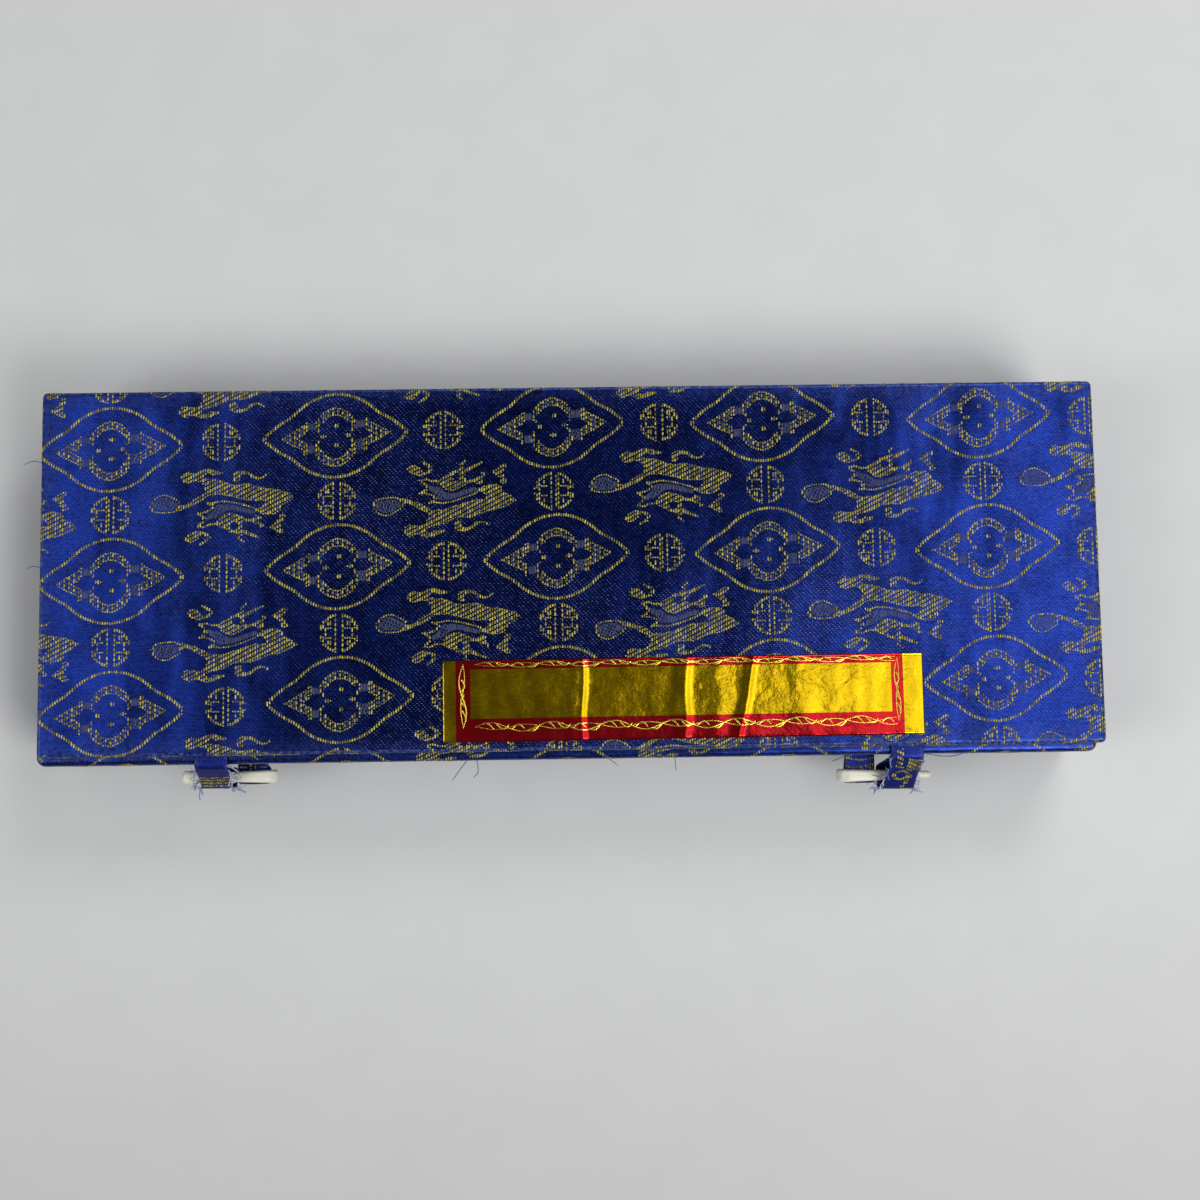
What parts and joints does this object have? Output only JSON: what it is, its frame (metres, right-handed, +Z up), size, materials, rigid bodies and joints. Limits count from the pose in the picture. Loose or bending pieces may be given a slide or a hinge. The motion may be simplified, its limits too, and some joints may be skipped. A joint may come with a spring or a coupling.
{
  "type": "chinese brocade box",
  "caption": "Long flat hinged case wrapped in patterned brocade, with a padded bed, a foil label and bone pegs that slip through cloth loops.",
  "frame": {"origin": "centre of the flat underside of the tray", "axes": "+X along the box's length, +Y from the peg side to the hinge side, +Z up"},
  "size_m": [0.3014, 0.1151, 0.0322],
  "materials": {
    "brocade": "blue satin weave with gold motifs",
    "brocade_band": "folded brocade band with frayed cut edges",
    "satin": "pale gold satin, soft sheen",
    "foam": "soft foam and wadding",
    "greyboard": "raw greyboard",
    "card": "matt paper-faced card",
    "foil": "creased metallic foil paper with a red printed border",
    "bone": "polished bone, faint grain"
  },
  "bodies": {
    "tray": {"front_wall_board": "greyboard", "back_wall_board": "greyboard", "left_wall_board": "greyboard", "right_wall_board": "greyboard", "base_board": "greyboard", "wall_cloth": "brocade", "back_cloth": "brocade", "base_card": "card", "wall_lining": "satin", "bed_foam": "foam", "bed_ribs": "foam", "bed_end_blocks": "foam", "bed_satin": "satin", "hinge_cloth": "brocade", "left_strap": "brocade_band", "right_strap": "brocade_band"},
    "lid": {"lid_board": "greyboard", "lid_cloth": "brocade", "lid_card": "card", "lid_pad": "foam", "pad_satin": "satin", "foil_label": "foil", "left_loop": "brocade_band", "right_loop": "brocade_band"},
    "left_peg": {"left_peg": "bone"},
    "right_peg": {"right_peg": "bone"}
  },
  "joints": [
    {"name": "lid_hinge", "type": "hinge", "parent": "tray", "child": "lid", "pos_m": [0, 0.0535, 0.0285], "axis": [-1, 0, 0], "range_deg": [0, 180], "deforming": ["hinge_cloth", "left_loop", "right_loop"]},
    {"name": "left_peg_slide", "type": "slide", "parent": "tray", "child": "left_peg", "axis": [1, 0, 0], "range_m": [0, 0.017], "deforming": ["left_strap"]},
    {"name": "right_peg_slide", "type": "slide", "parent": "tray", "child": "right_peg", "axis": [-1, 0, 0], "range_m": [0, 0.017], "deforming": ["right_strap"]}
  ]
}
